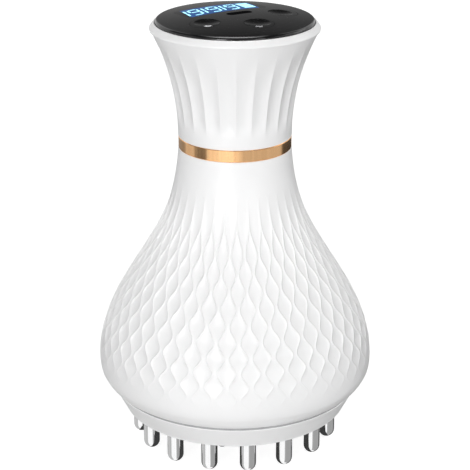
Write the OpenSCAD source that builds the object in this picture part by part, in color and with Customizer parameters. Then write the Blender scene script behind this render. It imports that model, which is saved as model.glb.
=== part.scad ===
/* [Overall outline] */
// How far the massage pins reach below the head plate
pin_reach = 12.2; // [9:0.1:16]
// Height of the tapered base ring
base_ring_h = 8.3; // [6:0.1:12]
// Height of the sealing ring that shows as a thin recessed line
gasket_h = 0.9; // [0.6:0.1:2]
// Height of the patterned belly casing
belly_h = 87.2; // [80:0.1:96]
// Height of the trim ring round the waist
trim_h = 4.2; // [3:0.1:7]
// Height of the fluted neck up to the crease below its rim
neck_h = 37; // [34:0.1:44]
// Height of the plain rim above that crease
rim_h = 2.6; // [2.4:0.1:3.6]

/* [Casing radii] */
// Radius of the belly casing at its lower seam
seam_r = 44.8; // [44.5:0.1:47]
// How far the base ring tapers in from the seam to its bottom edge
foot_taper = 4.2; // [3.2:0.1:4.4]
// Radius of the belly at its widest
belly_r = 49; // [48:0.5:56]
// Height of the widest girth above the lower seam
belly_z = 9.6; // [8:0.1:14]
// Radius of the waist where belly and neck meet the trim ring
waist_r = 19.7; // [19:0.1:22]
// Radius of the neck at the crease below the rim
crease_r = 28.5; // [28:0.1:31]
// How far the rim bulges beyond the crease
rim_bulge = 0.6; // [0.3:0.1:1.2]
// How far the rim reaches in from the crease to the control panel
rim_w = 1.4; // [1.3:0.1:1.8]
// Thickness of the casing walls below their hollows
wall = 2; // [1.6:0.1:2.4]

/* [Leaf relief of the belly] */
// Number of leaf columns round the belly
leaf_columns = 36; // [30:1:40]
// Number of rows of leaves
leaf_rows = 10; // [6:1:10]
// Depth of a leaf at its middle
leaf_depth = 0.9; // [0.4:0.1:1.2]
// Height of the top row's middle above the lower seam
leaf_top_z = 56.6; // [52:0.1:58]
// Distance from the top row to the next
leaf_pitch = 5.35; // [4.6:0.05:5.4]
// How much each row is closer than the one above it
leaf_closing = 0.12; // [0:0.01:0.14]
// Side swing of a leaf's edge, as a share of half a column
leaf_swing = 0.32; // [0.1:0.01:0.4]
// Turn of the relief about the axis
leaf_turn = 0.5; // [-5:0.5:5]

/* [Flutes of the neck] */
// Number of flutes round the neck
flutes = 24; // [18:1:28]
// Depth of a flute at its middle
flute_depth = 0.8; // [0.4:0.1:1.2]
// Plain length of neck above the trim ring
flute_start = 3.5; // [2:0.5:6]
// Length over which a flute fades out at each end
flute_fade = 6; // [4:0.5:8]

/* [Massage pins] */
// Diameter of a pin
pin_d = 5.7; // [4.5:0.1:6]
// Distance of the outer pins' circle from the bottom edge of the base ring
outer_pin_in = 6; // [5.8:0.1:7.5]
// Number of outer pins
outer_pins_n = 16; // [12:1:16]
// Radius of the circle of inner pins
inner_pin_r = 17.8; // [17:0.1:19]
// Number of inner pins
inner_pins_n = 8; // [6:1:8]
// Turn of the pin circles about the axis
pin_turn = -1; // [-2:0.5:2]
// Radius of the collar that holds a pin in its bore
pin_collar_r = 3.5; // [3.3:0.1:3.6]
// Thickness of that collar
pin_collar_h = 1; // [0.8:0.1:1.5]

/* [Head] */
// Thickness of the head plate
plate_t = 3.6; // [3.2:0.1:5]
// Thickness of the head plate's clamping edge
plate_edge_t = 1.9; // [1.5:0.1:2.2]
// Thickness of the contact board on the pin collars
contact_t = 1.6; // [1:0.1:2]
// Radius of the hole in the contact board
contact_hole_r = 11; // [10:0.5:12]
// Radius of the head screws' thread
head_thread_r = 1.5; // [1.2:0.1:1.8]

/* [Drive] */
// Radius of the vibration motor's can
motor_r = 12; // [10:0.5:13]
// Length of the motor's can
motor_l = 23.4; // [18:0.2:26]
// Length of the motor's end cap
motor_cap_l = 3; // [2:0.2:4]
// Radius of the motor's shaft
shaft_r = 1.5; // [1:0.1:2]
// Outer radius of the eccentric weight
weight_r = 9.5; // [7:0.5:12]
// Height of the eccentric weight
weight_h = 6.6; // [4:0.2:7]

/* [Battery] */
// Radius of the battery cell
cell_r = 9.1; // [8.5:0.1:9.4]
// Length of the battery cell
cell_l = 65.2; // [60:0.2:66]

/* [Control panel] */
// Height of the panel's crown above its round edge
panel_crown = 1.7; // [1:0.1:2.5]
// Radius of the panel's round edge
panel_edge = 1; // [0.6:0.1:1.4]
// Radius of a button cap
button_r = 5; // [4.4:0.1:5.2]
// Travel of a button
button_travel = 0.4; // [0.2:0.05:0.6]
// Sideways distance of the two side buttons from the panel's edge
side_button_in = 11.8; // [11.1:0.1:12.6]
// Distance of the two side buttons in front of the middle
side_button_y = 5; // [4.8:0.1:6]
// Distance of the middle button from the panel's front edge
front_button_in = 12.7; // [12.4:0.1:13.4]
// Sideways shift of all three buttons
button_shift = 0.7; // [-0.8:0.1:0.8]
// Width of the display window
window_w = 31; // [29:0.5:32]
// Depth of the display window
window_d = 12; // [11:0.2:12.6]
// Distance of the display window behind the middle
window_y = 10; // [9.6:0.1:10.4]
// Width of the charging slot
slot_w = 9.6; // [9.2:0.1:10.4]
// Depth of the charging slot
slot_d = 3.5; // [3.3:0.1:3.7]
// Sideways place of the charging slot
slot_x = 1.5; // [-2:0.1:2]

/* [Fits] */
// Gap between pieces that are laid or slid into each other
slip = 0.15; // [0.05:0.01:0.25]
// Gap round a turning shaft and round screw threads
running = 0.05; // [0.02:0.01:0.1]
// Gap round a button cap
button_gap = 0.15; // [0.1:0.01:0.25]

/* [Hidden] */
$fn = 64;

// Levels of the stack, from the pin tips upwards
z_head = pin_reach;
z_plate = z_head + plate_t;
z_ring_top = z_head + base_ring_h;
z_seam = z_ring_top + gasket_h;
z_belly = z_seam + belly_z;
z_trim = z_seam + belly_h;
z_neck = z_trim + trim_h;
z_crease = z_neck + neck_h;
z_rim = z_crease + rim_h;

// Radii that go with their neighbours
foot_r = seam_r - foot_taper;
outer_pin_r = foot_r - outer_pin_in;
head_screw_r = (outer_pin_r + inner_pin_r) / 2;
panel_r = crease_r - rim_w;
side_button_x = panel_r - side_button_in;
front_button_y = panel_r - front_button_in;

// Shape of the outer lines: each knot is [share of the way up, share of the swell, slope]
belly_knots = [[0, 1, 0], [0.376, 0.654, -1.6], [0.688, 0.182, -1.13], [1, 0, -0.16]];
neck_knots = [[0, 0, 0], [1, 1, 2]];

// Inside of the waist, and the sleeve of the trim ring in it
sleeve_seat = 0.55;
waist_in_r = waist_r - wall - sleeve_seat;

// Head stack
z_contact = z_plate + pin_collar_h;
z_post = z_contact + contact_t;
foot_lip = 1.6;
plate_step = 0.6;
plate_edge_r = foot_r - foot_lip;
plate_r = plate_edge_r - plate_step;
ledge_r = plate_r + slip;
pin_gap = 0.05;
foot_round = 0.9;
ring_swell = 0.12;
ring_swell_z = 3.3;
ring_top_edge = 0.3;
ring_inset = 0.5;
gasket_inset = 0.7;
spigot_r = belly_in(z_seam) - slip;
spigot_t = 1.8;
spigot_h = 3;
board_inset = 0.4;
screw_head_r = head_thread_r + 1.3;
screw_head_h = 1.8;
head_sink = 2.1;
head_grip = 8;
screw_turn = pin_turn + 180 / inner_pins_n;
pad_groove_r = 12;
pad_groove_w = 1;
pad_groove_deep = 0.5;

// Drive stack: weight, clamp, motor, floor of the motor cup
weight_clear = 5;
clamp_t = 2.2;
clamp_gap = 1.2;
cup_wall = 2;
cup_floor = 2;
z_weight = z_post + weight_clear;
z_clamp = z_weight + weight_h + clamp_gap;
z_motor = z_clamp + clamp_t;
z_cup = z_motor + motor_l + motor_cap_l;
cup_in_r = motor_r + slip;
cup_r = cup_in_r + cup_wall;
motor_boss_r = shaft_r + 1.5;
motor_boss_h = 1.8;
shaft_spare = 2;
shaft_tip = 1;
hub_wall = 2.1;
motor_cap_inset = 0.6;
motor_tab_at = 2;
motor_tab_w = 1.8;
motor_tab_t = 0.5;
motor_tab_h = 1.7;
clamp_ear_r = 3.2;
clamp_ear_sunk = 0.4;
clamp_hole_at = cup_r + clamp_ear_r - clamp_ear_sunk;
clamp_thread_r = 1;
clamp_head_r = 2.1;
clamp_head_h = 1.2;
clamp_grip = 7;
ear_h = 10;

// Battery stack
pad_t = 0.6;
cell_gap = 0.3;
cell_tube_r = cell_r + cell_gap;
cell_tip_h = 1;
pad_inset = 0.6;
tube_r = cell_tube_r + cup_wall;
z_cell = z_cup + cup_floor + pad_t;
z_cell_top = z_cell + cell_l;
cell_cap_t = 1.2;
cell_cap_plug = 1.8;
z_tube_top = z_cell_top + cell_cap_plug;

// Frame
deck_t = 2.4;
deck_up = 4;
deck_gap = 9;
z_deck = z_motor + deck_up;
deck_r = belly_r - deck_gap;
deck_hole_r = 6;
deck_hole_at = (cup_r + deck_r) / 2;
post_r = 4;
rib_t = 1.6;
rib_w = 6;
rib_h = 14;
rib_foot = 1;
wire_hole_r = 4;
window_slot_w = 8;
window_slot_in = 9;
board_stand_h = 2;
stand_post_r = 1.8;
power_w = 36;
power_d = 15;
power_edge = 3;
power_at = deck_r - power_d / 2 - power_edge;
power_turn = pin_turn + 112.5;
coil_w = 10;
coil_d = 9;
coil_h = 8;
can_r = 3.2;
can_h = 9;
can_spots = [0.08, 0.34];

// Neck inside: sleeve of the trim ring, ledge for the carrier, seat for the panel
sleeve_t = 1.1;
sleeve_reach = 3;
sleeve_r = waist_in_r - slip;
boss_r = 2.4;
boss_h = 18;
web_t = 2;
carrier_thread_r = 1.1;
carrier_grip = 10;
carrier_screw_at = sleeve_r - sleeve_t - boss_r - 2 * slip;
carrier_drop = 10.8;
z_ledge = z_crease - carrier_drop;
joint_drop = 5;
ledge_t = 2.4;
ledge_w = 1.8;
carrier_t = 2.2;
carrier_r = neck_in(z_ledge) - slip;
z_joint = z_ledge - joint_drop;
panel_seat = 1.8;
seat_w = 1.7;
z_seat = z_rim - panel_seat;
panel_proud = 0.1;
panel_edge_t = 1.4;
panel_wall = 2.6;
z_panel_edge = z_rim + panel_proud;
panel_floor = z_seat + panel_edge_t;
z_above = z_panel_edge + panel_edge + panel_crown + 1;
rim_gap = 0.2;
rim_edge = 0.3;
rim_top_r = panel_r + slip + rim_gap;

// Control board and what stands on it
stand_h = 2;
stand_r = 2.4;
stand_at = carrier_r - stand_r - slip;
board_t = 1.6;
z_board = z_ledge + carrier_t + stand_h;
z_board_top = z_board + board_t;
board_gap = 1;
board_r = neck_in(z_board) - board_gap;
switch_w = 6;
switch_h = 3.1;
plunger_r = 1.7;
plunger_h = 1;
z_plunger = z_board_top + switch_h + plunger_h;
push_clear = 0.05;
flange_t = 0.5;
flange_extra = 0.7;
z_flange = panel_floor - flange_t - push_clear;
power_spot = [button_shift - side_button_x, -side_button_y];
mode_spot = [button_shift, -front_button_y];
level_spot = [button_shift + side_button_x, -side_button_y];
button_spots = [power_spot, mode_spot, level_spot];
dish_ball = 16;
dish_rim = 0.5;
socket_w = slot_w - 4 * slip;
socket_d = slot_d - 2 * slip;
socket_t = 0.3;
socket_floor = 1.5;
socket_sink = 1.4;
tongue_in = 1.3;
tongue_t = 0.7;
tongue_sink = 0.8;
slot_y = -0.3;
slot_end = 0.05;
window_ledge = 1.2;
window_corner = 2;
window_inner_corner = 0.8;
window_fit = 0.06;
window_t = 0.7;
z_window = panel_floor + window_t;
press_gap = 0.02;
carrier_hole_r = 8;
carrier_head_r = 2;
carrier_head_h = 1.4;
board_thread_r = 0.9;
board_head_r = 1.5;
board_head_h = 1;

// Smooth curve through the knots of a line
function piece(t, a, b, sa, sb) =
    a * (1 + 2 * t) * (1 - t) * (1 - t) + sa * t * (1 - t) * (1 - t)
    + b * t * t * (3 - 2 * t) - sb * t * t * (1 - t);
function span_of(knots, u, i = 0) =
    i >= len(knots) - 2 || u <= knots[i + 1][0] ? i : span_of(knots, u, i + 1);
function along(knots, u) =
    let (i = span_of(knots, u), a = knots[i], b = knots[i + 1], w = b[0] - a[0])
    piece((u - a[0]) / w, a[1], b[1], a[2] * w, b[2] * w);
function clamp01(x) = max(0, min(1, x));
function ease(x) = let (t = clamp01(x)) t * t * (3 - 2 * t);

// Radius of the belly over its ridges
function belly_line(z) = z >= z_belly
    ? waist_r + (belly_r - waist_r) * along(belly_knots, (z - z_belly) / (z_trim - z_belly))
    : belly_r - (belly_r - seam_r) * pow((z_belly - z) / belly_z, 3);
// Radius of the neck over its ridges
function neck_line(z) = waist_r + (crease_r - waist_r) * along(neck_knots, (z - z_neck) / neck_h);
// Inside of both casings, one wall below the deepest hollow
function belly_in(z) = max(waist_in_r, belly_line(z) - leaf_depth - wall);
function neck_in(z) = max(waist_in_r, neck_line(z) - flute_depth - wall);

// Rows over which the relief fades out below and above, and the part above row 0 at full depth
low_fade = 4.5;
high_fade = 4.2;
full_rows = 0.2;
// Row number of the relief at a height: 0 at the middle of the top row, 1 at the next
function leaf_row(z) =
    let (down = z_seam + leaf_top_z - z, b = leaf_pitch + leaf_closing / 2)
    (b - sqrt(max(0, b * b - 2 * leaf_closing * down))) / max(leaf_closing, 0.001);
function leaf_level(row) = z_seam + leaf_top_z - leaf_pitch * row + leaf_closing * row * (row - 1) / 2;
// Swing of the edges: leaves alternate down the rows and run out into plain flutes above them
function leaf_wave(row) = row < 0
    ? leaf_swing + (-0.45 - leaf_swing) * ease(-row / 1.6)
    : leaf_swing * cos(180 * row);
function leaf_fade(row) = row < 0
    ? 1 - ease((-row - full_rows) / high_fade)
    : 1 - ease((row - leaf_rows - 0.5) / low_fade + 1);

// One ring of points round the belly, three to each hollow
function leaf_ring(z) =
    let (row = leaf_row(z), deep = leaf_depth * leaf_fade(row), step = 180 / leaf_columns)
    let (wave = deep > 0.01 ? leaf_wave(row) : 0, r = belly_line(z), full = 1 + 2 * leaf_swing)
    [for (j = [0 : 2 * leaf_columns - 1])
        let (side = j % 2 == 0 ? 1 : -1, width = 1 + 2 * side * wave)
        let (from = (j - 0.5 - side * wave) * step + leaf_turn, floor_r = r - deep * width / full)
        for (s = [0 : 2])
            let (a = from + width * step * s / 3, q = s == 0 ? r : floor_r)
            [q * sin(a), -q * cos(a), z]];
// One ring of points round the neck, four to each flute
function flute_ring(z) =
    let (up = (z - z_neck - flute_start) / flute_fade, down = (z_crease - z) / flute_fade)
    let (deep = flute_depth * ease(up) * ease(down), r = neck_line(min(z, z_crease)), step = 360 / flutes)
    [for (j = [0 : flutes - 1], s = [0 : 3])
        let (t = s / 4, a = (j + t) * step, q = r - deep * 4 * t * (1 - t)) [q * sin(a), -q * cos(a), z]];
// Plain ring of the same number of points
function plain_ring(r, z, n) = [for (i = [0 : n - 1]) [r * sin(360 * i / n), -r * cos(360 * i / n), z]];

// Solid through a stack of rings of equal point count, each panel cut along its shorter diagonal
module stack(rings) {
    n = len(rings[0]);
    top = len(rings) - 1;
    points = [for (ring = rings) each ring];
    sides = [for (k = [0 : top - 1], i = [0 : n - 1])
        let (a = k * n + i, b = k * n + (i + 1) % n)
        let (lean = norm(points[a] - points[b + n]) < norm(points[b] - points[a + n]))
        each lean ? [[a, a + n, b + n], [a, b + n, b]] : [[a, a + n, b], [b, a + n, b + n]]];
    bottom_face = [for (i = [0 : n - 1]) i];
    top_face = [for (i = [0 : n - 1]) top * n + n - 1 - i];
    polyhedron(points, concat([bottom_face, top_face], sides), convexity = 6);
}
module ring_at(r_out, r_in, z0, z1) {
    translate([0, 0, z0]) difference() {
        cylinder(r = r_out, h = z1 - z0);
        translate([0, 0, -1]) cylinder(r = r_in, h = z1 - z0 + 2);
    }
}
module rod(r, z0, z1) {
    translate([0, 0, z0]) cylinder(r = r, h = z1 - z0);
}
// Copies on a circle, the first at the front turned by the given angle
module around(n, at, turn = 0) {
    for (i = [0 : n - 1]) rotate([0, 0, turn + 360 * i / n]) translate([0, -at, 0]) children();
}
module rounded(w, d, r) {
    square([w - 2 * r, d], center = true);
    square([w, d - 2 * r], center = true);
    for (x = [-1, 1], y = [-1, 1]) translate([x * (w / 2 - r), y * (d / 2 - r)]) circle(r, $fn = 32);
}
module block(w, d, z0, z1, r = 0.5) {
    translate([0, 0, z0]) linear_extrude(z1 - z0) rounded(w, d, r);
}
module screw(head_r, head_h, thread_r, length) {
    cylinder(r = head_r, h = head_h, $fn = 32);
    translate([0, 0, -length]) cylinder(r = thread_r, h = length + 0.01, $fn = 32);
}

// Casings
belly_levels = concat(
    [for (share = [0, 0.156, 0.458]) z_seam + belly_z * share],
    [for (row = [leaf_rows - 0.5 : -0.5 : -1]) leaf_level(row)],
    [for (share = [0.5, 1]) leaf_level(-share * (high_fade + full_rows))],
    [z_trim]);
neck_levels = concat(
    [z_neck],
    [for (k = [0 : 2]) z_neck + flute_start + flute_fade * k / 2],
    [for (k = [1 : 4]) z_neck + flute_start + flute_fade + (neck_h - flute_start - 2 * flute_fade) * k / 4],
    [z_crease - flute_fade / 2, z_crease - flute_fade / 5, z_crease]);

module belly_shell() {
    color("white") difference() {
        stack([for (z = belly_levels) leaf_ring(z)]);
        rotate_extrude() polygon(concat(
            [[0, z_seam - 1], [belly_in(z_seam), z_seam - 1]],
            [for (k = [0 : 16]) let (z = z_seam + belly_h * k / 16) [belly_in(z), z]],
            [[waist_in_r, z_trim + 1], [0, z_trim + 1]]));
    }
}
module neck_shell() {
    n = 4 * flutes;
    bulge_r = crease_r + rim_bulge;
    ledge_top = neck_in(z_ledge);
    color("white") difference() {
        stack(concat([for (z = neck_levels) flute_ring(z)],
            [plain_ring(bulge_r, z_crease + rim_h * 0.25, n)],
            [plain_ring(bulge_r - rim_edge / 2, z_crease + rim_h * 0.44, n)],
            [for (k = [1, 0]) plain_ring(rim_top_r + k * rim_edge, z_rim - k * rim_edge / 2, n)]));
        rotate_extrude() polygon(concat(
            [[0, z_neck - 1], [waist_in_r, z_neck - 1]],
            [for (k = [0 : 8]) let (z = z_neck + (z_ledge - 2 * ledge_t - z_neck) * k / 8) [neck_in(z), z]],
            [[ledge_top - ledge_w, z_ledge - ledge_t], [ledge_top - ledge_w, z_ledge]],
            [for (k = [0 : 4]) let (z = z_ledge + (z_crease - 2 - z_ledge) * k / 4) [neck_in(z), z]],
            [[panel_r - seat_w, z_seat], [panel_r + slip, z_seat]],
            [[panel_r + slip, z_rim + 1], [0, z_rim + 1]]));
    }
}
module trim_ring() {
    face_r = waist_r - 0.05;
    edge = 0.2;
    color("tan") rotate_extrude() polygon([
        [sleeve_r - sleeve_t, z_trim - sleeve_reach], [sleeve_r, z_trim - sleeve_reach], [sleeve_r, z_trim],
        [face_r - edge, z_trim], [face_r, z_trim + edge], [face_r, z_neck - edge], [face_r - edge, z_neck],
        [sleeve_r, z_neck], [sleeve_r, z_neck + sleeve_reach],
        [sleeve_r - sleeve_t, z_neck + sleeve_reach]]);
}
module base_gasket() {
    color("gainsboro") ring_at(seam_r - gasket_inset, spigot_r + slip, z_ring_top, z_seam);
}
module base_ring() {
    top_r = seam_r - ring_inset;
    slant = (top_r - foot_r) / (z_ring_top - z_head - foot_round);
    color("whitesmoke") rotate_extrude() polygon(concat(
        [[ledge_r, z_head + plate_edge_t], [plate_edge_r + slip, z_head + plate_edge_t],
        [plate_edge_r + slip, z_head]],
        [for (a = [-90 : 15 : 0]) [foot_r, z_head + foot_round] + foot_round * [cos(a) - 1, sin(a)]],
        [[foot_r + slant * (ring_swell_z - foot_round) + ring_swell, z_head + ring_swell_z]],
        [[top_r, z_ring_top - ring_top_edge], [top_r - ring_top_edge / 2, z_ring_top]],
        [[spigot_r, z_ring_top], [spigot_r, z_seam + spigot_h], [spigot_r - spigot_t, z_seam + spigot_h],
        [spigot_r - spigot_t, z_plate + 2], [ledge_r, z_plate - 0.1]]));
}

// Head
module pin_spots(at, n) { around(n, at, pin_turn) children(); }
module screw_spots() { around(4, head_screw_r, screw_turn) children(); }
module head_plate() {
    color("whitesmoke") difference() {
        union() {
            rod(plate_edge_r, z_head, z_head + plate_edge_t);
            rod(plate_r, z_head, z_plate);
            screw_spots() rod(post_r, z_plate - 1, z_contact);
        }
        pin_spots(outer_pin_r, outer_pins_n) rod(pin_d / 2 + pin_gap, z_head - 1, z_plate + 1);
        pin_spots(inner_pin_r, inner_pins_n) rod(pin_d / 2 + pin_gap, z_head - 1, z_plate + 1);
        screw_spots() rod(screw_head_r + slip, z_head - 1, z_head + head_sink);
        screw_spots() rod(head_thread_r + slip, z_head, z_contact + 1);
        ring_at(pad_groove_r + pad_groove_w / 2, pad_groove_r - pad_groove_w / 2, z_head - 1,
            z_head + pad_groove_deep);
    }
}
module pin() {
    tip = pin_d / 2;
    intersection() {
        translate([0, 0, tip]) sphere(tip);
        rod(tip + 1, -1, tip);
    }
    rod(tip, tip, z_plate);
    rod(pin_collar_r, z_plate, z_contact);
}
module outer_pins() { color("silver") pin_spots(outer_pin_r, outer_pins_n) pin(); }
module inner_pins() { color("silver") pin_spots(inner_pin_r, inner_pins_n) pin(); }
module contact_board() {
    color("darkgreen") difference() {
        ring_at(plate_r - board_inset, contact_hole_r, z_contact, z_post);
        screw_spots() rod(head_thread_r + slip, z_contact - 1, z_post + 1);
    }
}
module head_screws() {
    color("dimgray") screw_spots() translate([0, 0, z_head + head_sink]) mirror([0, 0, 1])
        screw(screw_head_r, screw_head_h, head_thread_r, z_post + head_grip - z_head - head_sink);
}

// Drive
module rib(foot) {
    rotate([90, 0, 90]) linear_extrude(rib_t, center = true) polygon([
        [0.5 - cup_r, foot - 0.5], [-cup_r - rib_w, foot - 0.5],
        [-cup_r - rib_w, foot + rib_foot], [0.5 - cup_r, foot + rib_h]]);
}
module ear_spots() { around(2, clamp_hole_at) children(); }
module inner_frame() {
    deck_top = z_deck + deck_t;
    color("lightgray") difference() {
        union() {
            rod(cup_r, z_motor, z_cup + cup_floor);
            rod(deck_r, z_deck, deck_top);
            screw_spots() rod(post_r, z_post, z_deck + 1);
            ear_spots() rod(clamp_ear_r, z_motor, z_motor + ear_h);
            rod(tube_r, z_cup, z_tube_top);
            around(3, carrier_screw_at) rod(boss_r, z_joint - boss_h, z_joint);
            around(3, carrier_screw_at) translate([-web_t / 2, 0, z_joint - boss_h])
                cube([web_t, carrier_screw_at - cell_tube_r - 0.5, z_tube_top - z_joint + boss_h]);
            around(4, 0, screw_turn) rib(deck_top);
            power_spots() rod(stand_post_r, deck_top - 1, deck_top + board_stand_h);
        }
        rod(cup_in_r, z_motor - 1, z_cup);
        rod(cell_tube_r, z_cup + cup_floor, z_tube_top + 1);
        rod(wire_hole_r, z_cup - 1, z_cup + cup_floor + 1);
        screw_spots() rod(head_thread_r + running, z_post - 1, z_post + head_grip + 1);
        ear_spots() rod(clamp_thread_r + running, z_motor - 1, z_motor + clamp_grip + 1);
        around(3, carrier_screw_at) rod(carrier_thread_r + running, z_joint - carrier_grip - 1, z_joint + 1);
        for (side = [-135, 135]) rotate([0, 0, power_turn + side]) translate([0, -deck_hole_at, 0])
            rod(deck_hole_r, z_deck - 1, deck_top + 1);
        for (side = [0, 180]) rotate([0, 0, side + 90]) translate([0, -tube_r, 0])
            block(window_slot_w, 3 * cup_wall, z_cell + window_slot_in, z_cell_top - window_slot_in, 1);
    }
}
module power_spots() {
    at_x = power_w / 2 - power_edge;
    at_y = power_d / 2 - power_edge;
    rotate([0, 0, power_turn]) translate([0, -power_at, 0])
        for (x = [-at_x, at_x], y = [-at_y, at_y]) translate([x, y, 0]) children();
}
module motor_can() {
    color("silver") difference() {
        union() {
            rod(motor_r, z_motor, z_motor + motor_l);
            rod(motor_boss_r, z_motor - motor_boss_h, z_motor + 1);
        }
        rod(shaft_r + running, z_motor - clamp_t, z_motor + motor_l + 1);
    }
}
module motor_end_cap() {
    z_base = z_motor + motor_l;
    color("dimgray") {
        rod(motor_r - motor_cap_inset, z_base, z_cup);
        for (x = [-motor_tab_at, motor_tab_at]) translate([x, 0, 0])
            block(motor_tab_t, motor_tab_w, z_cup - 0.5, z_cup + motor_tab_h, motor_tab_t / 3);
    }
}
module motor_shaft() {
    color("lightsteelblue") rod(shaft_r, z_weight - shaft_tip, z_motor + motor_l - shaft_spare);
}
module eccentric_weight() {
    hub_r = shaft_r + hub_wall;
    color("goldenrod") difference() {
        union() {
            rod(hub_r, z_weight, z_weight + weight_h);
            intersection() {
                rod(weight_r, z_weight, z_weight + weight_h);
                translate([-weight_r, -weight_r, z_weight]) cube([2 * weight_r, weight_r, weight_h]);
            }
        }
        rod(shaft_r + press_gap, z_weight - 1, z_weight + weight_h + 1);
    }
}
module motor_clamp() {
    color("lightgray") difference() {
        union() {
            rod(cup_r, z_clamp, z_motor);
            ear_spots() rod(clamp_ear_r, z_clamp, z_motor);
        }
        rod(motor_boss_r + slip, z_clamp - 1, z_motor + 1);
        ear_spots() rod(clamp_thread_r + slip, z_clamp - 1, z_motor + 1);
    }
}
module clamp_screws() {
    color("dimgray") ear_spots() translate([0, 0, z_clamp]) mirror([0, 0, 1])
        screw(clamp_head_r, clamp_head_h, clamp_thread_r, clamp_t + clamp_grip);
}

// Power
module power_board() {
    z_base = z_deck + deck_t + board_stand_h;
    z_top = z_base + board_t;
    color("darkgreen") rotate([0, 0, power_turn]) translate([0, -power_at, 0]) {
        block(power_w, power_d, z_base, z_top);
        translate([-power_w / 4, 0, 0]) block(coil_w, coil_d, z_base + 1, z_top + coil_h);
        for (share = can_spots) translate([share * power_w, 0, 0]) rod(can_r, z_base + 1, z_top + can_h);
    }
}
module battery_pad() {
    color("black") ring_at(cell_r - pad_inset, wire_hole_r, z_cell - pad_t, z_cell);
}
module battery_cell() {
    color("royalblue") {
        rod(cell_r, z_cell, z_cell_top - cell_tip_h);
        rod(cell_r / 3, z_cell_top - 2 * cell_tip_h, z_cell_top);
    }
}
module battery_cap() {
    flange_r = carrier_screw_at - boss_r - slip;
    color("lightgray") difference() {
        union() {
            rod(cell_tube_r - slip, z_cell_top, z_tube_top + 0.1);
            rod(flange_r, z_tube_top, z_tube_top + cell_cap_t);
        }
        rod(wire_hole_r / 2, z_cell_top - 1, z_tube_top + cell_cap_t + 1);
    }
}

// Control stack
module stand_spots(turns) { for (t = turns) rotate([0, 0, t]) translate([0, -stand_at, 0]) children(); }
module panel_carrier() {
    color("lightgray") difference() {
        union() {
            rod(carrier_r, z_ledge, z_ledge + carrier_t);
            around(3, carrier_screw_at) rod(boss_r, z_joint, z_ledge + 1);
            stand_spots([0, 90, 270]) rod(stand_r, z_ledge + 1, z_board);
        }
        rod(carrier_hole_r, z_ledge - 1, z_ledge + carrier_t + 1);
        around(3, carrier_screw_at) rod(carrier_thread_r + slip, z_joint - 1, z_ledge + carrier_t + 1);
        stand_spots([90, 270]) rod(board_thread_r + running, z_ledge - 1, z_board + 1);
    }
}
module carrier_screws() {
    color("dimgray") around(3, carrier_screw_at) translate([0, 0, z_ledge + carrier_t])
        screw(carrier_head_r, carrier_head_h, carrier_thread_r, joint_drop + carrier_t + carrier_grip);
}
module control_board() {
    color("darkgreen") difference() {
        rod(board_r, z_board, z_board_top);
        stand_spots([90, 270]) rod(board_thread_r + slip, z_board - 1, z_board_top + 1);
    }
}
module board_screws() {
    color("dimgray") stand_spots([90, 270]) translate([0, 0, z_board_top])
        screw(board_head_r, board_head_h, board_thread_r, board_t + stand_h + 1);
}
module button_switches() {
    color("black") for (spot = button_spots) translate([spot.x, spot.y, 0]) {
        block(switch_w, switch_w, z_board_top, z_board_top + switch_h);
        rod(plunger_r, z_board_top + switch_h - 0.5, z_plunger);
    }
}
module charging_socket() {
    z_mouth = panel_floor + socket_sink;
    round_r = socket_d / 2 - slot_end;
    color("silver") translate([slot_x, slot_y, 0]) {
        difference() {
            block(socket_w, socket_d, z_board_top, z_mouth, round_r);
            block(socket_w - 2 * socket_t, socket_d - 2 * socket_t, z_board_top + socket_floor, z_mouth + 1,
                round_r - socket_t);
        }
        block(socket_w - 2 * tongue_in, tongue_t, z_board_top + 1, z_mouth - tongue_sink, tongue_t / 4);
    }
}
module display_module() {
    w = window_w - 2 * window_ledge - 2 * slip;
    d = window_d - 2 * window_ledge - 2 * slip;
    color("steelblue") translate([0, window_y, 0])
        block(w, d, z_board_top, z_window - slip, window_inner_corner);
}

// Crowned top with its round edge, as one turned solid down to its seat
module crown() {
    face_r = panel_r - panel_edge;
    z_edge = z_panel_edge + panel_edge;
    rotate_extrude() polygon(concat(
        [[0, z_seat], [panel_r, z_seat]],
        [for (a = [0 : 15 : 90]) [face_r + panel_edge * cos(a), z_panel_edge + panel_edge * sin(a)]],
        [for (k = [11 : -1 : 0]) [face_r * k / 12, z_edge + panel_crown * (1 - k * k / 144)]]));
}
module panel_cuts() {
    for (spot = button_spots) translate([spot.x, spot.y, 0])
        rod(button_r + button_gap, z_seat - 1, z_above);
    translate([slot_x, slot_y, 0]) block(slot_w, slot_d, z_seat - 1, z_above, slot_d / 2 - slot_end);
    translate([0, window_y, 0]) {
        block(window_w, window_d, z_window, z_above, window_corner);
        block(window_w - 2 * window_ledge, window_d - 2 * window_ledge, z_seat - 1, z_above,
            window_inner_corner);
    }
}
module control_panel() {
    color([0.1, 0.1, 0.1]) difference() {
        crown();
        rod(panel_r - panel_wall, z_seat - 1, panel_floor);
        panel_cuts();
    }
}
module display_window() {
    w = window_w - 2 * window_fit;
    d = window_d - 2 * window_fit;
    color("midnightblue") intersection() {
        translate([0, window_y, 0]) block(w, d, z_window, z_above, window_corner);
        crown();
    }
}
module button(spot) {
    crown_z = z_panel_edge + panel_edge + panel_crown * (1 - pow(norm(spot) / (panel_r - panel_edge), 2));
    ball_z = crown_z + sqrt(dish_ball * dish_ball - pow(button_r - dish_rim, 2));
    color([0.15, 0.15, 0.15]) {
        difference() {
            intersection() {
                translate([spot.x, spot.y, 0]) rod(button_r, z_flange, z_above);
                crown();
            }
            translate([spot.x, spot.y, ball_z]) sphere(dish_ball, $fn = 96);
        }
        translate([spot.x, spot.y, 0]) {
            rod(button_r + flange_extra, z_flange, z_flange + flange_t);
            rod(plunger_r, z_plunger + button_travel + push_clear, z_flange + flange_t);
        }
    }
}
module power_button() { button(power_spot); }
module mode_button() { button(mode_spot); }
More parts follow.
